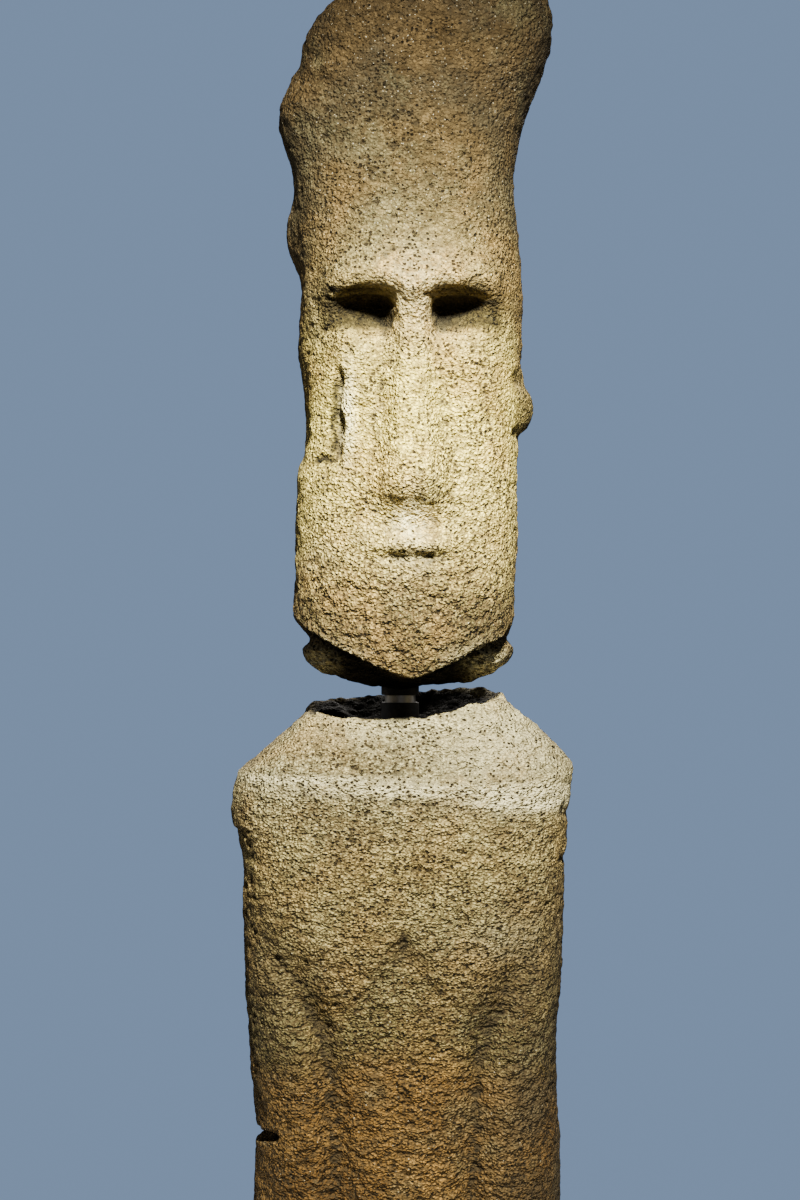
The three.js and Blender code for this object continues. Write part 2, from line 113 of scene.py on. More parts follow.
def scatter(points, size, seed):
    """Distance to the nearest of scattered spots, as a share of size, and that spot's number."""
    place = points / size
    cell = np.floor(place).astype(np.int64)
    nearest = np.full(len(points), 9.0)
    number = np.zeros(len(points))
    for step in itertools.product((-1, 0, 1), repeat=3):
        there = cell + np.array(step)
        spot = there + np.stack([hashed(there, seed + k) for k in range(3)], axis=1)
        distance = np.linalg.norm(spot - place, axis=1)
        closer = distance < nearest
        nearest[closer] = distance[closer]
        number[closer] = hashed(there[closer], seed + 3)
    return nearest, number


def pits(points, size, seed, stretch, share):
    """Round-bottomed hollows from 0 to 1 deep, in a share of the lattice's cells."""
    distance, number = scatter(points * np.array([1, 1, stretch]), size, seed)
    radius = 0.22 + 0.3 * (number / share)
    hollow = np.sqrt(np.clip(1 - (distance / radius) ** 2, 0, 1))
    return np.where(number < share, hollow * (0.4 + 0.6 * number / share), 0)


# Mesh helpers


def baked(piece):
    """Gives the piece the mesh that its modifiers make of it."""
    graph = bpy.context.evaluated_depsgraph_get()
    result = bpy.data.meshes.new_from_object(piece.evaluated_get(graph))
    piece.modifiers.clear()
    old, piece.data = piece.data, result
    bpy.data.meshes.remove(old)


def read(mesh):
    """The mesh's points and their normals."""
    points = np.empty(3 * len(mesh.vertices))
    normals = np.empty(3 * len(mesh.vertices))
    mesh.vertices.foreach_get("co", points)
    mesh.vertex_normals.foreach_get("vector", normals)
    return points.reshape(-1, 3), normals.reshape(-1, 3)


def edges_of(mesh):
    ends = np.empty(2 * len(mesh.edges), np.int32)
    mesh.edges.foreach_get("vertices", ends)
    return ends.reshape(-1, 2)


def averaged(values, ends, rounds):
    """Values averaged with their neighbours', a number of times over."""
    count = len(values)
    degree = np.bincount(ends.ravel(), minlength=count)
    for _ in range(rounds):
        total = np.stack(
            [
                np.bincount(ends[:, 0], values[ends[:, 1], k], count)
                + np.bincount(ends[:, 1], values[ends[:, 0], k], count)
                for k in range(values.shape[1])
            ],
            axis=1,
        )
        values = 0.5 * values + 0.5 * total / np.maximum(degree, 1)[:, None]
    return values


def bulge(points, normals, ends, rounds):
    """How far each point stands out of its smoothed surroundings, in metres."""
    return np.sum((points - averaged(points, ends, rounds)) * normals, axis=1)


def keep_values(mesh, name, values):
    layer = mesh.attributes.new(name, "FLOAT", "POINT")
    layer.data.foreach_set("value", np.clip(values, 0, 1).astype(np.float32))


# From the CAD block to an even mesh. Angles are in radians.

SHARP = math.radians(62)
MERGE_WITHIN = 1e-5
JOIN_ANGLE, JOIN_SHAPE = 0.7, 1.2
CAGE_ROUNDS = 3
CAGE_STEP = 0.8
KEEN_STEPS = 10


def block_mesh(node):
    """A copy of the CAD mesh in larger faces, with its sharp edges marked."""
    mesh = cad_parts[node].data.copy()
    form = bmesh.new()
    form.from_mesh(mesh)
    bmesh.ops.remove_doubles(form, verts=form.verts, dist=MERGE_WITHIN)
    bmesh.ops.join_triangles(
        form, faces=form.faces, angle_face_threshold=JOIN_ANGLE, angle_shape_threshold=JOIN_SHAPE
    )
    creases = form.edges.layers.float.new("crease_edge")
    for edge in form.edges:
        if edge.is_manifold and edge.calc_face_angle() > SHARP:
            edge[creases] = 1.0
    form.to_mesh(mesh)
    form.free()
    mesh.materials.clear()
    return mesh


def fit_cage(piece):
    """Moves the mesh's points until the smooth surface made of it passes through the CAD's."""
    mesh = piece.data
    corners, _ = read(mesh)
    cage = corners.copy()
    for _ in range(CAGE_ROUNDS):
        graph = bpy.context.evaluated_depsgraph_get()
        shown = piece.evaluated_get(graph).to_mesh()
        surface, _ = read(shown)
        cage += CAGE_STEP * (corners - surface[: len(corners)])
        mesh.vertices.foreach_set("co", cage.ravel())
        mesh.update()


def rounded_block(name, node, voxel):
    """The CAD block as an even mesh, with a smooth surface through the CAD's corners."""
    piece = bpy.data.objects.new(name, block_mesh(node))
    SCENE.collection.objects.link(piece)
    surface = piece.modifiers.new("surface", "SUBSURF")
    surface.levels = surface.render_levels = 2
    fit_cage(piece)
    even = piece.modifiers.new("even", "REMESH")
    even.mode = "VOXEL"
    even.voxel_size = voxel
    baked(piece)
    return piece


def thinned(piece, triangles, keen):
    """Fewer triangles, with the ones that are left gathered where keen is high."""
    count = 2 * len(piece.data.polygons)
    group = piece.vertex_groups.new(name="keen")
    steps = (keen * KEEN_STEPS).astype(int).clip(0, KEEN_STEPS - 1)
    for step in range(KEEN_STEPS):
        held = np.nonzero(steps == step)[0]
        group.add(held.tolist(), 1 - step / KEEN_STEPS, "REPLACE")
    fewer = piece.modifiers.new("fewer", "DECIMATE")
    fewer.ratio = triangles / count
    fewer.vertex_group = group.name
    fewer.vertex_group_factor = 1.0
    baked(piece)
    piece.vertex_groups.clear()


# Relief that both stones have, as heights at each point


def ground(points, stretch):
    """Swells, lumps and pores that the weathered tuff has all over, drawn out sideways."""
    drawn = points * np.array([1, 1, stretch])
    swells = 0.0024 * rough(points, 0.13, 11, 2)
    lumps = 0.0019 * rough(drawn, 0.03, 21, 3, 0.7)
    patchy = smooth(-0.4, 0.6, noise(points, 0.16, 31))
    large = 0.005 * pits(points, 0.034, 41, stretch, 0.2) * (0.2 + 0.8 * patchy)
    small = 0.0042 * pits(points, 0.019, 51, stretch, 0.45) * (0.4 + 0.6 * patchy)
    return swells + lumps - large - small


def torn(points):
    """The coarse, stepped face of a break."""
    steps = np.abs(rough(points, 0.07, 61, 3))
    return 0.009 * (steps - 0.7) + 0.003 * rough(points, 0.02, 71, 2)


def worn_edges(points, stands):
    """Chips and rounding where the block has edges."""
    edge = smooth(0.0006, 0.003, stands)
    bites = smooth(0.05, 0.75, noise(points, 0.045, 81) + 0.5 * noise(points, 0.016, 82))
    return -edge * (0.001 + 0.006 * bites)


def chips(points, places):
    """Depth of some round pits in a stone's front, each given as x, z, width and depth."""
    x, _, z = points.T
    return sum(deep * bell(np.hypot(x - at_x, z - at_z), wide) for at_x, at_z, wide, deep in places)


# Relief of the head

CHEEK_PITS = [(0.158, 2.15, 0.004, 0.006), (0.162, 2.1, 0.005, 0.006), (0.17, 2.045, 0.006, 0.006)]
LOBE_ENDS = (2.133, 2.026)
LOBE_CUT = 0.009
FLAKE_DEEP, FLAKE_FOOT_DEEP = 0.02, 0.01


def flake_edge(points, edge_x, wide, foot_left, foot_right):
    """The ragged edge that a lost flake left down the left cheek, and its foot, from 0 to 1."""
    x, _, z = points.T
    wander = 0.006 * noise(points, 0.03, 91) + 0.003 * noise(points, 0.011, 92)
    step = bell(x - edge_x + wander, wide) * smooth(1.965, 1.985, z) * smooth(2.17, 2.11, z)
    foot = bell(z - FLAKE_FOOT_Z + wander, wide) * smooth(*foot_left, x) * smooth(*foot_right, x)
    return step, foot


def head_breaks(points, normals):
    """The torn faces of the neck and of the crown."""
    x, y, z = points.T
    under = smooth(0.3, -0.3, normals[:, 2]) * smooth(CHIN_Z + 0.12, CHIN_Z, z)
    neck = smooth(0.2, 0.8, under) * smooth(0.24, 0.18, np.hypot(x, y - PIN_Y))
    height = (z - CHIN_Z) / HEAD_TALL
    crown = smooth(0.86, 0.93, height + 0.12 * smooth(0.05, -0.2, x))
    return (neck * 0.8 + crown * 0.55) * torn(points)


def lobe_cuts(points, normals):
    """The cuts over and under what is left of the right ear's lobe."""
    _, y, z = points.T
    side = smooth(0.2, 0.5, normals[:, 0])
    ends = sum(bell(z - end_z, 0.012) for end_z in LOBE_ENDS)
    return LOBE_CUT * side * ends * smooth(-0.11, -0.07, y) * smooth(0.12, 0.08, y)


def head_relief(points, normals, stands):
    front = smooth(0.2, 0.6, -normals[:, 1])
    step, foot = flake_edge(points, FLAKE_X, 0.007, (-0.175, -0.165), (-0.118, -0.13))
    relief = ground(points, stretch=1.25) + worn_edges(points, stands)
    relief += head_breaks(points, normals)
    relief -= front * np.maximum(FLAKE_DEEP * step, FLAKE_FOOT_DEEP * foot)
    relief -= front * chips(points, CHEEK_PITS)
    return relief - lobe_cuts(points, normals)


# Relief of the torso

CHEST_CHIPS = [(-0.044, 0.76, 0.012, 0.006), (0.05, 1.12, 0.009, 0.004)]
ARM_STEP = 0.006
FINGER_WIDE = 0.026
FINGER_Z = 0.268
FINGER_GAP = 0.0055
LEFT_STEP = 0.007

# Bites out of the right shoulder's edge, as height, width and depth
SHOULDER_BITES = [(1.286, 0.008, 0.006), (1.196, 0.006, 0.007)]


def arm_edges(points, normals):
    """The steps down both sides where the arms end towards the back."""
    _, y, z = points.T
    side = smooth(0.35, 0.8, np.abs(normals[:, 0]))
    line = 0.03 + 0.05 * smooth(0.9, 0.4, z) + 0.006 * noise(points, 0.08, 93)
    span = smooth(0.2, 0.3, z) * smooth(1.25, 1.1, z)
    return ARM_STEP * side * span * smooth(line - 0.02, line + 0.012, y)


def finger_gaps(points, normals):
    """The gaps between long fingers laid across the belly."""
    x, _, z = points.T
    reach = np.abs(x)
    hand = smooth(0.012, 0.035, reach) * smooth(0.185, 0.15, reach)
    hand = hand * smooth(0.2, 0.5, -normals[:, 1]) * smooth(0.21, 0.225, z) * smooth(0.335, 0.315, z)
    gaps = np.cos(2 * math.pi * (z - FINGER_Z + 0.05 * reach) / FINGER_WIDE) * 0.5 + 0.5
    return FINGER_GAP * hand * gaps**5


def shoulder_damage(points):
    """Bites out of the right shoulder's edge, and a step inwards below the left one's corner."""
    x, y, z = points.T
    ragged = 0.009 * noise(points, 0.018, 96)
    bites = sum(
        deep * bell(np.hypot(z - bite_z + ragged, 0.05 * (y + 0.05)), wide)
        for bite_z, wide, deep in SHOULDER_BITES
    )
    below = smooth(1.256, 1.246, z) * smooth(1.0, 1.2, z)
    return bites * smooth(0.302, 0.318, x) + LEFT_STEP * below * smooth(0.28, 0.32, -x)


def torso_relief(points, normals, stands):
    break_top = smooth(NECK_Z - 0.03, NECK_Z, points[:, 2]) * smooth(0.0, 0.5, normals[:, 2])
    relief = ground(points, stretch=1.7) + worn_edges(points, stands)
    relief += break_top * torn(points)
    relief -= arm_edges(points, normals)
    relief -= finger_gaps(points, normals)
    relief -= shoulder_damage(points)
    return relief - smooth(0.3, 0.6, -normals[:, 1]) * chips(points, CHEST_CHIPS)


# Carving

# Rounds of averaging, from small forms to large ones
GRAIN_ROUNDS, EDGE_ROUNDS, DIP_ROUNDS = 5, 14, 40


def clear_bore(points):
    """Pushes points out of the bore, so that the stone stays off the bush in it."""
    across, along = points[:, 0] - PIN_X, points[:, 1] - PIN_Y
    radius = np.hypot(across, along)
    push = np.where(radius < BORE_RADIUS, BORE_RADIUS / np.maximum(radius, 1e-4), 1)
    points[:, 0] = PIN_X + across * push
    points[:, 1] = PIN_Y + along * push


def carve(piece, relief_of, triangles):
    """Displaces the block's points, but not at its foot or bore, then thins it where it is plain."""
    mesh = piece.data
    points, normals = read(mesh)
    stands = bulge(points, normals, edges_of(mesh), EDGE_ROUNDS)
    standing = smooth(0.0, 0.012, points[:, 2])
    from_pin = np.hypot(points[:, 0] - PIN_X, points[:, 1] - PIN_Y)
    from_pin[points[:, 2] > BORE_TOP] = np.inf
    off_bore = smooth(BORE_RADIUS + 0.002, BORE_RADIUS + 0.012, from_pin)
    relief = relief_of(points, normals, stands) * standing * off_bore
    points = points + normals * relief[:, None]
    near = from_pin < BORE_RADIUS + 0.004
    held = points[near]
    clear_bore(held)
    points[near] = held
    points[:, 2] = np.maximum(points[:, 2], 0)
    mesh.vertices.foreach_set("co", points.ravel())
    mesh.update()
    keen = 0.35 + 0.65 * smooth(0.4, -0.2, normals[:, 1])
    thinned(piece, triangles, keen)


# Materials


class Nodes:
    """A short way to write a material's nodes."""

    def __init__(self, name):
        self.material = bpy.data.materials.new(name)
        self.material.use_nodes = True
        self.tree = self.material.node_tree
        self.shader = self.tree.nodes["Principled BSDF"]

    def put(self, kind, inputs=(), **settings):
        node = self.tree.nodes.new(kind)
        for key, value in settings.items():
            setattr(node, key, value)
        for key, value in dict(inputs).items():
            self.fill(node.inputs[key], value)
        return node

    def fill(self, socket, value):
        if isinstance(value, bpy.types.NodeSocket):
            self.tree.links.new(value, socket)
        else:
            socket.default_value = value

    def wire(self, name, value):
        self.fill(self.shader.inputs[name], value)

    def place(self):
        return self.put("ShaderNodeTexCoord").outputs["Object"]

    def axes(self, place):
        """The place's x, y and z."""
        return self.put("ShaderNodeSeparateXYZ", {0: place}).outputs

    def stretched(self, place, scale):
        node = self.put("ShaderNodeMapping", {"Vector": place, "Scale": scale})
        return node.outputs[0]

    def vector(self, operation, inputs):
        node = self.put("ShaderNodeVectorMath", inputs, operation=operation)
        return node.outputs[0]

    def warped(self, place, scale, amount):
        """The place pushed about by noise, so that round spots become ragged."""
        inputs = {"Vector": place, "Scale": scale, "Detail": 2.0}
        push = self.put("ShaderNodeTexNoise", inputs).outputs["Color"]
        centred = self.vector("SUBTRACT", {0: push, 1: (0.5, 0.5, 0.5)})
        small = self.vector("SCALE", {0: centred, "Scale": amount})
        return self.vector("ADD", {0: place, 1: small})

    def math(self, operation, *values):
        node = self.put("ShaderNodeMath", enumerate(values), operation=operation)
        return node.outputs[0]

    def lowered(self, height, share, depth):
        return self.math("SUBTRACT", height, self.math("MULTIPLY", share, depth))

    def span(self, value, low, high, to_low=0.0, to_high=1.0):
        inputs = {0: value, 1: low, 2: high, 3: to_low, 4: to_high}
        node = self.put("ShaderNodeMapRange", inputs, interpolation_type="SMOOTHSTEP")
        return node.outputs[0]

    def blend(self, share, first, second, mode="MIX"):
        node = self.put("ShaderNodeMix", {0: share, 6: first, 7: second}, data_type="RGBA")
        node.blend_type = mode
        return node.outputs[2]

    def tint(self, colour, share, strength, tone):
        """The colour with a share of a tone over it, at some strength."""
        return self.blend(self.math("MULTIPLY", share, strength), colour, (*tone, 1))

    def noise(self, place, scale, detail=3.0, roughness=0.55):
        inputs = {"Vector": place, "Scale": scale, "Detail": detail, "Roughness": roughness}
        return self.put("ShaderNodeTexNoise", inputs).outputs[0]

    def cells(self, place, scale):
        """Distance to the nearest scattered spot, and a number that is that spot's own."""
        node = self.put("ShaderNodeTexVoronoi", {"Vector": place, "Scale": scale})
        number = self.put("ShaderNodeSeparateColor", {0: node.outputs["Color"]}).outputs[0]
        return node.outputs["Distance"], number

    def holes(self, place, scale, share):
        """1 in small round spots, one in a share of the cells, and 0 outside."""
        distance, number = self.cells(place, scale)
        chosen = self.math("LESS_THAN", number, share)
        edge = self.math("MULTIPLY_ADD", number, 0.18, 0.29)
        inside = self.math("MULTIPLY", self.math("SUBTRACT", edge, distance), 14.0)
        return self.math("MULTIPLY", self.span(inside, 0.0, 1.0), chosen)

    def grey(self, value):
        return self.put("ShaderNodeCombineColor", {0: value, 1: value, 2: value}).outputs[0]

    def kept(self, name):
        return self.put("ShaderNodeAttribute", attribute_name=name).outputs["Fac"]

    def ramp(self, value, stops):
        node = self.put("ShaderNodeValToRGB", {0: value})
        elements = node.color_ramp.elements
        while len(elements) < len(stops):
            elements.new(0.5)
        for element, (place, colour) in zip(elements, stops):
            element.position = place
            element.color = (*colour, 1)
        return node.outputs[0]

    def bump(self, height, strength, distance):
        inputs = {"Strength": strength, "Distance": distance, "Height": height}
        self.wire("Normal", self.put("ShaderNodeBump", inputs).outputs[0])


def srgb(red, green, blue):
    """A linear colour from the 0 to 255 values of a screen."""
    shares = (c / 255 for c in (red, green, blue))
    return tuple(c / 12.92 if c <= 0.04045 else ((c + 0.055) / 1.055) ** 2.4 for c in shares)


# Tuff: colours of the stone and of what lies on it, and of painted shade and light
RUST = srgb(182, 144, 82)
LICHEN = srgb(142, 140, 108)
# Grey-green painted shade on the right arm
RIGHT_ARM_SHADE = srgb(104, 100, 82)
PLAIN_BACK = srgb(128, 112, 84)
# Painted shade between the granules
GRAIN_GAP_SHADE = srgb(84, 68, 44)
PALE_SPECK = srgb(232, 226, 204)
# Painted shade in the pores
PORE = srgb(30, 24, 16)
FINE_PORE = srgb(48, 38, 26)
# Pale wear, also used as painted light on the neck's flaps
CHALK_AND_LIGHT = srgb(248, 239, 194)
SHADE = srgb(14, 12, 9)

# What mark() keeps on the points, with its strength and its colour
KEPT_TONES = [
    ("pitted", 0.24, srgb(104, 88, 58)),
    # Painted shade in the mesh's small hollows
    ("hollow", 0.6, srgb(50, 40, 27)),
    # Painted shade in broad hollows, on the sides, the crown's right, the brow's underside and the
    # arms
    ("side_and_groove_shade", 0.78, srgb(56, 49, 36)),
]
MOTTLE = [(0.32, (0.54, 0.52, 0.48)), (0.5, (0.94, 0.94, 0.92)), (0.68, (1.26, 1.25, 1.22))]

# How many granules and pores there are along a metre
GRAINS, CRUMBS = 160, 310
PORES, FINE_PORES = 108, 190

# How high each of the stone's small forms stands, or how deep it is, in millimetres
RIPPLE_MM, LUMP_MM = 19.0, 40.0
GRAIN_MM, CRUMB_MM = 9.0, 2.6
PORE_MM, FINE_PORE_MM = 3.6, 1.6
MILLIMETRE = 0.001

# The height at the top end of the zones' scale
LEVEL_TOP = 3.0


def weathered(n, place, colour):
    """Rusty and grey-green patches, grey-green painted shade on the right arm and a plainer back."""
    across, depth, height = n.axes(place)
    rust = n.span(n.noise(place, 5.5, 5, 0.62), 0.42, 0.62)
    colour = n.tint(colour, rust, n.span(height, 2.72, 2.3, 0.2, 0.5), RUST)
    lichen = n.span(n.noise(place, 7.5, 6, 0.66), 0.5, 0.66)
    colour = n.tint(colour, lichen, 0.42, LICHEN)
    arm = n.math("MULTIPLY", n.span(across, 0.1, 0.27), n.span(height, 1.24, 1.1))
    # Grey-green painted shade on the right arm, below the shoulder
    arm_shade = n.math("MULTIPLY", arm, n.span(n.noise(place, 4.5, 4), 0.38, 0.52))
    colour = n.tint(colour, arm_shade, 0.6, RIGHT_ARM_SHADE)
    behind = n.span(n.math("MULTIPLY_ADD", n.noise(place, 9, 3), 0.08, depth), -0.06, 0.08)
    return n.tint(colour, behind, 0.72, PLAIN_BACK)


def pale_specks(n, height, crumbs, crumb_tones):
    """Small pale specks, most of them on the crown."""
    chosen = n.span(crumb_tones, n.span(height, 2.2, 2.5, 0.988, 0.945), 0.999)
    return n.math("MULTIPLY", chosen, n.span(crumbs, 0.5, 0.3))


def tuff_pores(n, place, drawn, height):
    """Large and fine pores, denser in patches and in pitted places, fewer on the crown."""
    dense = n.math("ADD", n.noise(place, 13, 4, 0.6), n.span(height, 2.4, 2.8, 0.0, -0.09))
    dense = n.math("MULTIPLY_ADD", n.kept("pitted"), 0.24, dense)
    pores = n.holes(n.warped(drawn, 80, 0.006), PORES, n.span(dense, 0.36, 0.66, 0.1, 0.85))
    fine = n.holes(n.warped(drawn, 90, 0.003), FINE_PORES, n.span(dense, 0.3, 0.65, 0.15, 0.6))
    return pores, fine


def pale_wear_and_light(n, drawn, pores):
    """Chalky smears of wear, and painted light on the neck's flaps under the jaw, broken up by
    noise and by the pores.
    """
    chalk = n.span(n.noise(drawn, 75, 5, 0.75), 0.42, 0.54)
    rubbed_and_lit = n.math("MULTIPLY", n.kept("rubbed_and_lit"), n.math("MULTIPLY_ADD", chalk, 0.75, 0.25))
    return n.math("MULTIPLY", rubbed_and_lit, n.math("SUBTRACT", 1.0, pores))


def tuff_heights(n, drawn, coarse, grains, crumbs, pores, fine):
    """The relief that is too fine for the mesh, in millimetres."""
    relief = n.math("MULTIPLY", n.noise(drawn, 78, 2, 0.6), RIPPLE_MM)
    lumps = n.math("MULTIPLY", n.noise(drawn, 42, 1, 0.5), n.span(coarse, 0.8, 1.1, 0.0, LUMP_MM))
    relief = n.math("ADD", relief, lumps)
    relief = n.lowered(relief, grains, GRAIN_MM)
    relief = n.lowered(relief, crumbs, CRUMB_MM)
    relief = n.math("MULTIPLY", relief, coarse)
    relief = n.lowered(relief, pores, PORE_MM)
    return n.lowered(relief, fine, FINE_PORE_MM)


def tuff(name, zones_and_light, grit, stretch):
    """Weathered tuff: bands of colour up the figure, partly the stone's own and partly a painted
    pool of light, with patches over them, granules of many tones with painted shade between them,
    pores painted dark as shade, and pale places, some worn and some painted light. Zones and grit,
    which is how coarse the stone is, both go by height as a share of LEVEL_TOP."""
    n = Nodes(name)
    place = n.place()
    drawn = n.stretched(place, (1, 1, stretch))
    height = n.axes(place)[2]
    drift = n.math("MULTIPLY_ADD", n.noise(place, 3.2, 3), 0.24, -0.12)
    level = n.math("DIVIDE", n.math("ADD", height, drift), LEVEL_TOP)
    coarse = n.ramp(level, [(at, (value, value, value)) for at, value in grit])
    mottle = n.noise(drawn, 30, 5, 0.7)
    bent = n.warped(drawn, 65, 0.006)
    grains, grain_tones = n.cells(bent, GRAINS)
    crumbs, crumb_tones = n.cells(bent, CRUMBS)
    pores, fine = tuff_pores(n, place, drawn, height)

    # Colour zones by height, partly the stone's colour and partly painted light
    colour = weathered(n, place, n.ramp(level, zones_and_light))
    colour = n.blend(1.0, colour, n.ramp(mottle, MOTTLE), "MULTIPLY")
    colour = n.blend(1.0, colour, n.grey(n.span(grain_tones, 0.0, 1.0, 0.6, 1.3)), "MULTIPLY")
    # Painted shade between the granules, more where the stone is coarse
    grain_gap_shade = n.math("MULTIPLY", n.span(grains, 0.36, 0.66), coarse)
    colour = n.tint(colour, grain_gap_shade, 0.8, GRAIN_GAP_SHADE)
    colour = n.tint(colour, pale_specks(n, height, crumbs, crumb_tones), 0.85, PALE_SPECK)
    # Pores and fine pores painted dark: painted shade in the holes
    colour = n.tint(colour, pores, 0.95, PORE)
    colour = n.tint(colour, fine, 0.8, FINE_PORE)
    for kept, strength, tone in KEPT_TONES:
        colour = n.tint(colour, n.kept(kept), strength, tone)
    # Pale wear, and painted light on the neck's flaps under the jaw
    colour = n.tint(colour, pale_wear_and_light(n, drawn, pores), 1.0, CHALK_AND_LIGHT)
    # Painted shade out of the light: under the jaw, in the sockets, at the flake and on the stump
    colour = n.tint(colour, n.kept("painted_shade"), 0.95, SHADE)

    n.wire("Base Color", colour)
    n.wire("Roughness", n.span(mottle, 0.3, 0.7, 0.98, 0.86))
    n.wire("Specular IOR Level", 0.22)
    n.bump(tuff_heights(n, drawn, coarse, grains, crumbs, pores, fine), 1.0, MILLIMETRE)
    return n.material


# The pin's steel and its bushes' packing

STEEL_DARK, STEEL_PALE = (0.42, 0.4, 0.37), (0.66, 0.63, 0.58)
STEEL_DUST = (0.3, 0.25, 0.18)
PACKING_DARK, PACKING_PALE = (0.018, 0.017, 0.016), (0.045, 0.042, 0.038)
PACKING_DUST = (0.2, 0.165, 0.11)


def steel():
    """Satin steel, drawn lengthwise, with a little dust."""
    n = Nodes("steel_satin")
    place = n.place()
    drawn = n.noise(n.stretched(place, (900, 900, 30)), 1.0, 3)
    dust = n.span(n.noise(place, 70, 5, 0.65), 0.45, 0.68)
    colour = n.blend(drawn, (*STEEL_DARK, 1), (*STEEL_PALE, 1))
    n.wire("Base Color", n.tint(colour, dust, 0.5, STEEL_DUST))
    n.wire("Metallic", 0.9)
    n.wire("Roughness", n.span(drawn, 0.3, 0.7, 0.3, 0.5))
    n.bump(drawn, 0.25, 0.4 * MILLIMETRE)
    return n.material


def packing():
    """Matt black packing with stone dust on it."""
    n = Nodes("bush_black")
    place = n.place()
    mould = n.noise(place, 160, 4, 0.6)
    dust = n.span(n.noise(place, 45, 6, 0.7), 0.5, 0.72)
    colour = n.blend(mould, (*PACKING_DARK, 1), (*PACKING_PALE, 1))
    n.wire("Base Color", n.tint(colour, dust, 0.45, PACKING_DUST))
    n.wire("Roughness", n.span(mould, 0.3, 0.7, 0.62, 0.85))
    n.bump(mould, 0.5, 1.2 * MILLIMETRE)
    return n.material


# Where the fronts are rubbed or bleached pale, and low on the head painted light on the neck's
# flaps under the jaw, as (x, z, spread across, spread up, strength)
HEAD_PALE_AND_LIT = [
    (-0.104, 2.06, 0.009, 0.05, 1.0),
    (0.016, 1.85, 0.02, 0.03, 0.7),
    # These two are painted light on the neck's flaps under the jaw
    (-0.15, 1.575, 0.035, 0.02, 0.9),
    (0.16, 1.57, 0.035, 0.022, 0.9),
    (0.02, 1.8, 0.03, 0.03, 0.3),
    (0.03, 2.3, 0.05, 0.06, 0.25),
]
TORSO_RUBBED = [
    (0.25, 1.32, 0.07, 0.015, 2.6),
    (0.05, 1.334, 0.16, 0.009, 1.2),
    (-0.2, 1.352, 0.14, 0.006, 1.1),
    (0.2, 1.42, 0.09, 0.06, 0.6),
    (0.0, 1.46, 0.1, 0.03, 0.5),
    (0.17, 1.5, 0.06, 0.04, 0.35),
    (0.2, 1.05, 0.05, 0.03, 0.18),
]

# Where pores crowd together, in the same way
HEAD_PITTED = [
    (0.17, 2.09, 0.02, 0.05, 1.0),
    (-0.15, 1.78, 0.03, 0.08, 0.7),
    (0.0, 1.72, 0.12, 0.07, 0.6),
    (0.0, 1.98, 0.15, 0.14, 0.4),
]
TORSO_PITTED = [
    (-0.05, 1.405, 0.09, 0.035, 1.0),
    (0.04, 1.33, 0.2, 0.02, 0.7),
    (0.05, 1.2, 0.12, 0.06, 0.5),
    (0.18, 0.95, 0.06, 0.12, 0.6),
]


def spots(points, places):
    """The strongest of some soft-edged places."""
    found = [
        strength * bell(points[:, 0] - x, across) * bell(points[:, 2] - z, up)
        for x, z, across, up, strength in places
    ]
    return np.max(found, axis=0)


# How dark the places out of the light are, from 0 to 1


def neck_shade(points):
    """The neck under the jaw's V."""
    x, y, z = points.T
    jaw = CHIN_Z + 0.11 * np.abs(x) / 0.22
    neck = smooth(jaw + 0.012, jaw - 0.012, z) * smooth(-0.17, -0.14, y)
    return neck * smooth(0.17, 0.1, np.abs(x))


def flake_shade(points, normals):
    """The crevice at the lost flake's edge, and less of it in the flake's bed."""
    x, _, z = points.T
    bed = smooth(-0.118, -0.132, x) * smooth(1.96, 1.98, z) * smooth(2.25, 2.1, z)
    patchy = 0.1 + 0.2 * noise(points, 0.03, 94)
    step, foot = flake_edge(points, FLAKE_X - 0.002, 0.006, (-0.18, -0.17), (-0.115, -0.125))
    crevice = 0.95 * np.maximum(step, foot) * smooth(0.2, 0.6, -normals[:, 1])
    return np.maximum(patchy * bed, crevice)


def socket_shade(points, normals):
    """The depths of the eye sockets, and the roof over each."""
    x, y, z = points.T
    foot, top = SOCKET_FOOT_Z, SOCKET_ROOF_Z
    deep = smooth(foot - 0.025, foot, z) * smooth(top, top - 0.012, z)
    deep = deep * smooth(-0.172, -0.158, y) * smooth(0.05, -0.1, y)
    roof = smooth(top - 0.058, top - 0.038, z) * smooth(top + 0.008, top, z)
    roof = roof * smooth(-0.2, -0.5, normals[:, 2]) * smooth(-0.2, -0.185, y)
    return 0.9 * np.maximum(deep, roof) * smooth(0.19, 0.16, np.abs(x - 0.02))


def head_painted_shade(points, normals):
    """Painted shade under the jaw, at the lost flake, in the eye sockets and on the right ear's
    lobe.
    """
    x, _, z = points.T
    lobe = 0.5 * smooth(0.238, 0.25, x) * smooth(1.9, 2.0, z) * smooth(2.2, 2.1, z)
    found = [neck_shade(points), flake_shade(points, normals), socket_shade(points, normals), lobe]
    return np.max(found, axis=0)


def torso_painted_shade(points, normals):
    """Painted shade on the torn face at the top of the neck's stump."""
    x, y, z = points.T
    within = smooth(0.19, 0.17, np.hypot(x, 1.3 * (y - PIN_Y)))
    return within * smooth(0.1, 0.4, normals[:, 2]) * smooth(NECK_Z - 0.06, NECK_Z - 0.03, z)


# How much painted shade the stones' sides get, from 0 to 1


def sideways(normals):
    """Painted shade on what faces sideways and not upwards."""
    return 0.65 * smooth(0.12, 0.7, np.abs(normals[:, 0])) * smooth(0.3, -0.2, normals[:, 2])


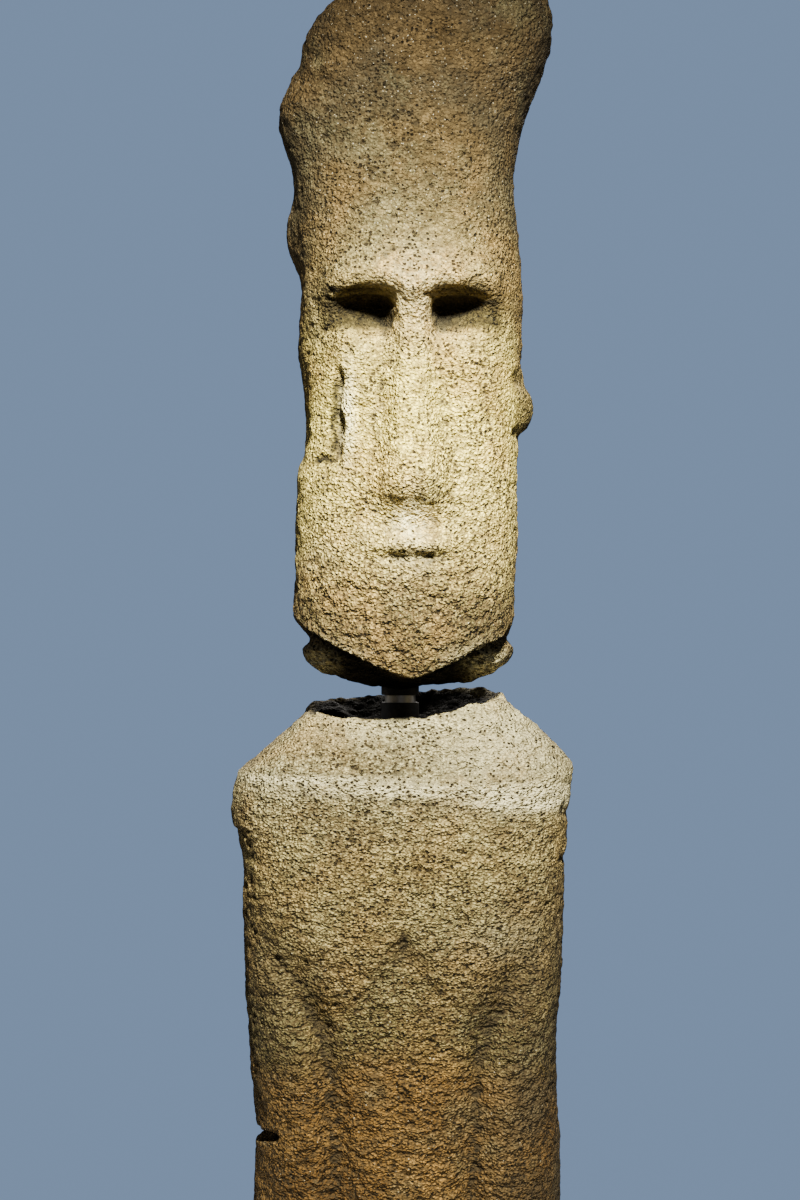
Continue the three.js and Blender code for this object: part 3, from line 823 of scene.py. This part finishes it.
def head_flanks(points, normals):
    """The head's sides, less at the cheeks, with the crown's right and the brow's underside."""
    x, _, z = points.T
    cheek = smooth(1.66, 1.74, z) * smooth(2.2, 2.1, z)
    crown = 0.65 * smooth(0.02, 0.18, x) * smooth(2.3, 2.6, z)
    top = SOCKET_ROOF_Z
    brow = smooth(top - 0.118, top - 0.068, z) * smooth(top + 0.062, top + 0.022, z)
    brow = 0.6 * brow * smooth(0.0, -0.4, normals[:, 2])
    return np.max([sideways(normals) * (1 - 0.6 * cheek), crown, brow], axis=0)


def torso_flanks(points, normals):
    """The torso's sides, less on the right shoulder, with both arms' fronts."""
    x, _, z = points.T
    shoulder = smooth(1.0, 1.16, z) * smooth(0.0, 0.1, x)
    arms = smooth(0.14, 0.25, np.abs(x)) * smooth(1.14, 1.02, z)
    arms = arms * (0.58 + 0.12 * smooth(-0.1, 0.1, x))
    return np.maximum(sideways(normals) * (1 - 0.8 * shoulder), arms)


def mark(piece, pale_and_lit_places, pitted_places, shade_of, flanks):
    """Keeps on each point its painted shade in small hollows, in broad hollows and on its sides,
    and out of the light, how pale it is from wear and from painted light, and how pitted it is.
    """
    mesh = piece.data
    points, normals = read(mesh)
    ends = edges_of(mesh)
    stands = bulge(points, normals, ends, GRAIN_ROUNDS)
    dips = bulge(points, normals, ends, DIP_ROUNDS)
    sides = flanks(points, normals) * (0.8 + 0.4 * noise(points, 0.09, 95))
    front = smooth(-0.2, 0.35, -normals[:, 1])
    worn = 0.4 * smooth(0.0012, 0.0035, stands)
    values = {
        # Painted shade in the mesh's small hollows
        "hollow": smooth(-0.0004, -0.0019, stands),
        # Painted shade in broad hollows and on the sides
        "side_and_groove_shade": np.maximum(smooth(-0.0006, -0.0042, dips), sides),
        # Painted shade out of the light
        "painted_shade": shade_of(points, normals),
        # Pale wear, and painted light on the neck's flaps
        "rubbed_and_lit": np.maximum(worn, front * spots(points, pale_and_lit_places)),
        "pitted": front * spots(points, pitted_places),
    }
    for name, value in values.items():
        keep_values(mesh, name, value)


def dress(piece, node):
    piece.data.shade_smooth()
    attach(piece, "root")
    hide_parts(node)


# The two stones, with their colours and their coarseness by height

# Partly the stone's colour, partly painted light: brightest at the face, darker to crown and chin
HEAD_ZONES_AND_LIGHT = [
    (0.52, srgb(100, 90, 60)),
    (0.565, srgb(124, 113, 74)),
    (0.605, srgb(206, 190, 118)),
    (0.69, srgb(230, 214, 118)),
    (0.755, srgb(168, 151, 98)),
    (0.82, srgb(124, 113, 82)),
    (0.9, srgb(90, 81, 63)),
    (1.0, srgb(68, 61, 52)),
]
# Partly the stone's colour, partly painted light: darker towards the foot
TORSO_ZONES_AND_LIGHT = [
    (0.0, srgb(112, 82, 42)),
    (0.2, srgb(122, 90, 46)),
    (0.255, srgb(134, 102, 54)),
    (0.28, srgb(140, 129, 84)),
    (0.34, srgb(164, 153, 108)),
    (0.4, srgb(206, 192, 132)),
    (0.45, srgb(208, 200, 156)),
    (0.52, srgb(192, 184, 144)),
]
HEAD_GRIT = [(0.5, 1.1), (0.58, 1.05), (0.62, 0.8), (0.72, 0.65), (0.8, 0.62), (1.0, 0.5)]
TORSO_GRIT = [(0.0, 1.1), (0.3, 1.05), (0.4, 0.95), (0.5, 0.85)]
HEAD_MARKS = (HEAD_PALE_AND_LIT, HEAD_PITTED, head_painted_shade, head_flanks)
TORSO_MARKS = (TORSO_RUBBED, TORSO_PITTED, torso_painted_shade, torso_flanks)


def stone(name, node, relief_of, marks, material, voxel, triangles):
    """One of the two blocks: the CAD's form with its relief, its marks and its material."""
    piece = rounded_block(name, node, voxel)
    carve(piece, relief_of, triangles)
    mark(piece, *marks)
    piece.data.materials.clear()
    piece.data.materials.append(material)
    dress(piece, node)


head_tuff = tuff("tuff_head", HEAD_ZONES_AND_LIGHT, HEAD_GRIT, stretch=1.1)
torso_tuff = tuff("tuff_torso", TORSO_ZONES_AND_LIGHT, TORSO_GRIT, stretch=1.3)
stone("head_stone", "head", head_relief, HEAD_MARKS, head_tuff, voxel=0.0040, triangles=190000)
stone("torso_stone", "torso", torso_relief, TORSO_MARKS, torso_tuff, voxel=0.0046, triangles=195000)

# The pin and its bushes, turned round with a small bevel on each outer edge

PIN_RADIUS = 0.031
BUSH_INNER, BUSH_OUTER = 0.0314, 0.0379
BEVEL = 0.0012
TURNED_SIDES = 72
TURNED_SHARP = math.radians(30)


def lathed(name, profile, material):
    """A turned piece round the pin's axis from (radius, height) pairs, the last joined to the first
    unless both lie on the axis."""
    form = bmesh.new()
    rings = []
    for radius, height in profile:
        if radius == 0:
            rings.append([form.verts.new((PIN_X, PIN_Y, height))])
            continue
        turns = (2 * math.pi * k / TURNED_SIDES for k in range(TURNED_SIDES))
        ring = [(PIN_X + radius * math.cos(a), PIN_Y + radius * math.sin(a), height) for a in turns]
        rings.append([form.verts.new(point) for point in ring])
    pairs = list(zip(rings, rings[1:]))
    if profile[0][0] > 0:
        pairs.append((rings[-1], rings[0]))
    for low, high in pairs:
        for k in range(TURNED_SIDES):
            corners = [low[k % len(low)], low[(k + 1) % len(low)]]
            corners += [high[(k + 1) % len(high)], high[k % len(high)]]
            form.faces.new(list(dict.fromkeys(corners)))
    bmesh.ops.recalc_face_normals(form, faces=form.faces)
    mesh = bpy.data.meshes.new(name)
    form.to_mesh(mesh)
    form.free()
    mesh.materials.append(material)
    piece = bpy.data.objects.new(name, mesh)
    SCENE.collection.objects.link(piece)
    return piece


def turned(name, node, inner, outer, material):
    """A bar, or a sleeve if inner isn't 0, as high as its node in the frame."""
    low, high = (corner[2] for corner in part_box(node))
    profile = [
        (inner, low), (outer - BEVEL, low), (outer, low + BEVEL),
        (outer, high - BEVEL), (outer - BEVEL, high), (inner, high),
    ]
    piece = lathed(name, profile, material)
    dress(piece, node)
    piece.data.set_sharp_from_angle(angle=TURNED_SHARP)


turned("pin_bar", "neck_pin", 0, PIN_RADIUS, steel())
black = packing()
for node in ("torso_bush", "head_bush"):
    turned(node + "_sleeve", node, BUSH_INNER, BUSH_OUTER, black)

# Floor, light, backdrop and camera

FLOOR_RADIUS = 1.62
FLOOR_SIDES = 96
FLOOR_DARK, FLOOR_PALE = (0.44, 0.44, 0.43), (0.5, 0.5, 0.49)

# Spots as name, place, target, beam in degrees, watts and colour
SPOTS = [
    ("key", (0.3, -3.2, 4.1), (0.1, -0.2, 1.24), 54, 2450, (1.0, 0.94, 0.74)),
    ("key_face", (0.5, -3.1, 4.3), (0.02, -0.2, 2.0), 12.5, 4200, (1.0, 0.94, 0.64)),
]
BULB_RADIUS = 0.15

# Round lamps as name, place, target, diameter, watts and colour
LAMPS = [
    ("fill", (0.4, -4.6, 1.0), (0.0, 0.0, 0.9), 2.4, 2, (0.97, 0.97, 1.0)),
    ("back", (0.3, 3.4, 3.4), (0.0, 0.0, 1.5), 1.8, 130, (1.0, 0.95, 0.88)),
    ("side_left", (-3.6, 0.9, 2.6), (0.0, 0.0, 1.4), 1.6, 14, (1.0, 0.99, 0.97)),
    ("side_right", (3.6, 0.9, 2.6), (0.0, 0.0, 1.4), 1.6, 14, (1.0, 0.99, 0.97)),
]

BACKDROP_SEEN = srgb(122, 144, 176)
BACKDROP_LIGHT = srgb(150, 150, 150)
BACKDROP_STRENGTH = 0.1

CAMERA_AWAY = 4.4
FRAME_TALL = 2.4
FRAME_X, FRAME_Z = -0.003, 1.7
SENSOR_MM = 36


def floor_disc():
    form = bmesh.new()
    bmesh.ops.create_circle(form, cap_ends=True, segments=FLOOR_SIDES, radius=FLOOR_RADIUS)
    mesh = bpy.data.meshes.new("floor")
    form.to_mesh(mesh)
    form.free()
    disc = bpy.data.objects.new("floor", mesh)
    SCENE.collection.objects.link(disc)
    n = Nodes("floor_pale")
    tone = n.noise(n.place(), 6, 4)
    n.wire("Base Color", n.blend(tone, (*FLOOR_DARK, 1), (*FLOOR_PALE, 1)))
    n.wire("Roughness", 0.8)
    mesh.materials.append(n.material)


def aimed(name, light, place, target):
    rig = bpy.data.objects.new(name, light)
    rig.location = place
    rig.rotation_mode = "QUATERNION"
    rig.rotation_quaternion = (Vector(target) - Vector(place)).to_track_quat("-Z", "Y")
    SCENE.collection.objects.link(rig)


def spot(name, place, target, beam, power, colour):
    light = bpy.data.lights.new(name, "SPOT")
    light.spot_size = math.radians(beam)
    light.spot_blend = 1.0
    light.shadow_soft_size = BULB_RADIUS
    light.energy = power
    light.color = colour
    aimed(name, light, place, target)


def lamp(name, place, target, size, power, colour):
    light = bpy.data.lights.new(name, "AREA")
    light.shape = "DISK"
    light.size = size
    light.energy = power
    light.color = colour
    aimed(name, light, place, target)


def backdrop():
    """A blue-grey backdrop that only the camera sees, and a dim grey light from all round."""
    world = bpy.data.worlds.new("backdrop")
    SCENE.world = world
    world.use_nodes = True
    nodes, links = world.node_tree.nodes, world.node_tree.links
    dim = nodes["Background"]
    dim.inputs["Color"].default_value = (*BACKDROP_LIGHT, 1)
    dim.inputs["Strength"].default_value = BACKDROP_STRENGTH
    seen = nodes.new("ShaderNodeBackground")
    seen.inputs["Color"].default_value = (*BACKDROP_SEEN, 1)
    choice = nodes.new("ShaderNodeMixShader")
    links.new(nodes.new("ShaderNodeLightPath").outputs["Is Camera Ray"], choice.inputs[0])
    links.new(dim.outputs[0], choice.inputs[1])
    links.new(seen.outputs[0], choice.inputs[2])
    links.new(choice.outputs[0], nodes["World Output"].inputs[0])


def camera():
    """The photograph's view, level and from straight in front."""
    view = bpy.data.cameras.new("view")
    view.sensor_width = SENSOR_MM
    view.lens = SENSOR_MM * CAMERA_AWAY / FRAME_TALL
    eye = bpy.data.objects.new("view", view)
    eye.location = (FRAME_X, -CAMERA_AWAY, FRAME_Z)
    eye.rotation_euler = (math.radians(90), 0, 0)
    SCENE.collection.objects.link(eye)
    SCENE.camera = eye


floor_disc()
for row in SPOTS:
    spot(*row)
for row in LAMPS:
    lamp(*row)
backdrop()
camera()
